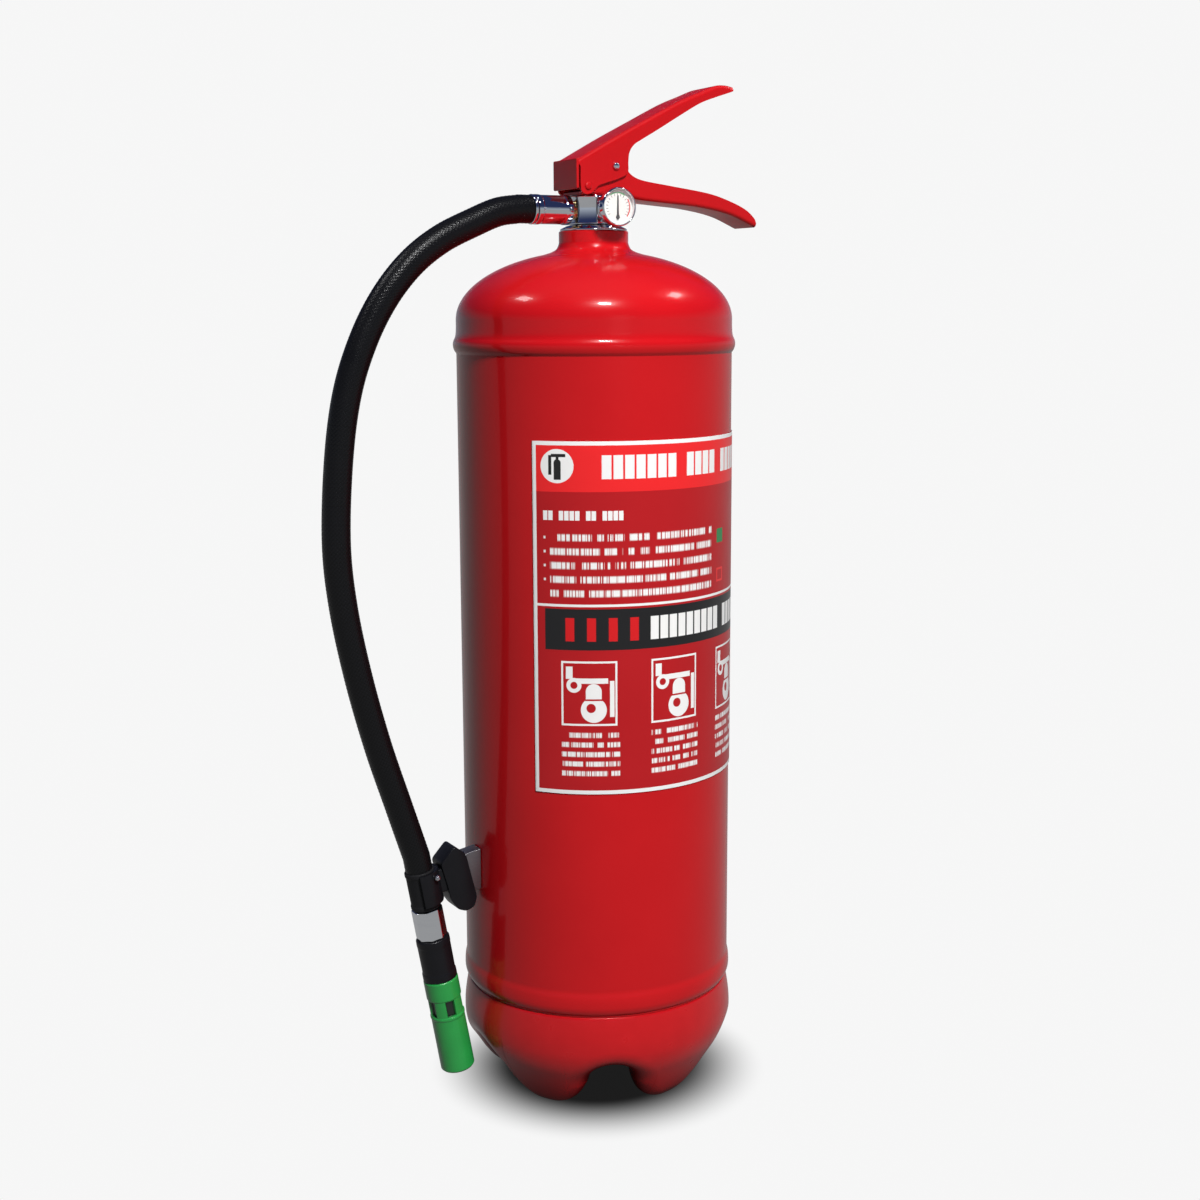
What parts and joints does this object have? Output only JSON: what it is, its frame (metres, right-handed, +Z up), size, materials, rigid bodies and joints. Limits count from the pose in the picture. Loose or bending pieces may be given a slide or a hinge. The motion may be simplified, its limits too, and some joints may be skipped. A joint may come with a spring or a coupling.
{
  "type": "fire extinguisher",
  "caption": "Portable fire extinguisher with a steel tank on a lobed boot, squeeze valve with carry handle, pressure gauge, safety pin, hose, nozzle and hose clip.",
  "frame": {"origin": "on the tank's axis, on the floor between the feet of the boot", "axes": "+Z up along the tank's axis, +X towards the tips of the lever and the carry handle, -X towards the hose, -Y towards the gauge"},
  "size_m": [0.274, 0.1638, 0.5918],
  "materials": {
    "red_paint": "gloss paint on steel",
    "red_boot": "moulded, semi-gloss",
    "label": "printed film",
    "chrome": "bright plate",
    "steel": "satin",
    "brass": "machined",
    "black_rubber": "matt",
    "black_plastic": "moulded",
    "hose": "braided cover, satin",
    "green_plastic": "moulded, satin",
    "dial": "white enamel",
    "glass": "clear"
  },
  "bodies": {
    "root": {"shell_tube": "red_paint", "shell_dome": "red_paint", "neck_boss": "red_paint", "shell_bottom": "red_paint", "base_boot": "red_boot", "instruction_label": "label", "valve_collar": "chrome", "neck_o_ring": "black_rubber", "valve_body": "chrome", "stem_seal": "black_rubber", "gland_nut": "brass", "siphon_tube": "steel", "stem_spring": "steel", "carry_handle": "red_paint", "lever_pivot": "steel", "gauge_case": "chrome", "gauge_dial": "dial", "gauge_lens": "glass", "gauge_bezel": "chrome", "hose_adapter": "brass", "hose_ferrule": "chrome", "hose_collar": "chrome", "hose": "hose", "nozzle_sleeve": "black_rubber", "nozzle_coupling": "chrome", "nozzle_grip": "black_plastic", "nozzle_tip": "green_plastic", "nozzle_core": "black_plastic", "hose_clip": "black_plastic", "clip_bracket": "steel", "clip_screw": "steel"},
    "lever": {"squeeze_lever": "red_paint", "seal_stud": "chrome"},
    "plunger": {"valve_stem": "steel", "stem_cap": "black_plastic"},
    "pin": {"safety_pin": "steel"},
    "ring": {"pull_ring": "steel"},
    "needle": {"gauge_needle": "black_plastic"}
  },
  "joints": [
    {"name": "lever_squeeze", "type": "hinge", "parent": "root", "child": "lever", "pos_m": [-0.011, 0, 0.5334], "axis": [0, 1, 0], "range_deg": [0, 14], "stiffness_Nm_per_rad": 8, "springref_deg": -14.32},
    {"name": "stem_travel", "type": "slide", "parent": "root", "child": "plunger", "axis": [0, 0, -1], "range_m": [0, 0.0043], "deforming": ["stem_spring"]},
    {"name": "pin_pull", "type": "slide", "parent": "root", "child": "pin", "axis": [0, 1, 0], "range_m": [0, 0.032]},
    {"name": "ring_swing", "type": "hinge", "parent": "pin", "child": "ring", "pos_m": [0.009, 0.0192, 0.5434], "axis": [1, 0, 0], "range_deg": [-5, 100]},
    {"name": "needle_turn", "type": "hinge", "parent": "root", "child": "needle", "pos_m": [0, -0.0276, 0.5155], "axis": [0, 1, 0], "range_deg": [-40, 40], "stiffness_Nm_per_rad": 0.0005}
  ],
  "couplings": [
    {"joint": "stem_travel", "follows": "lever_squeeze", "m_per_rad": 0.0172}
  ]
}
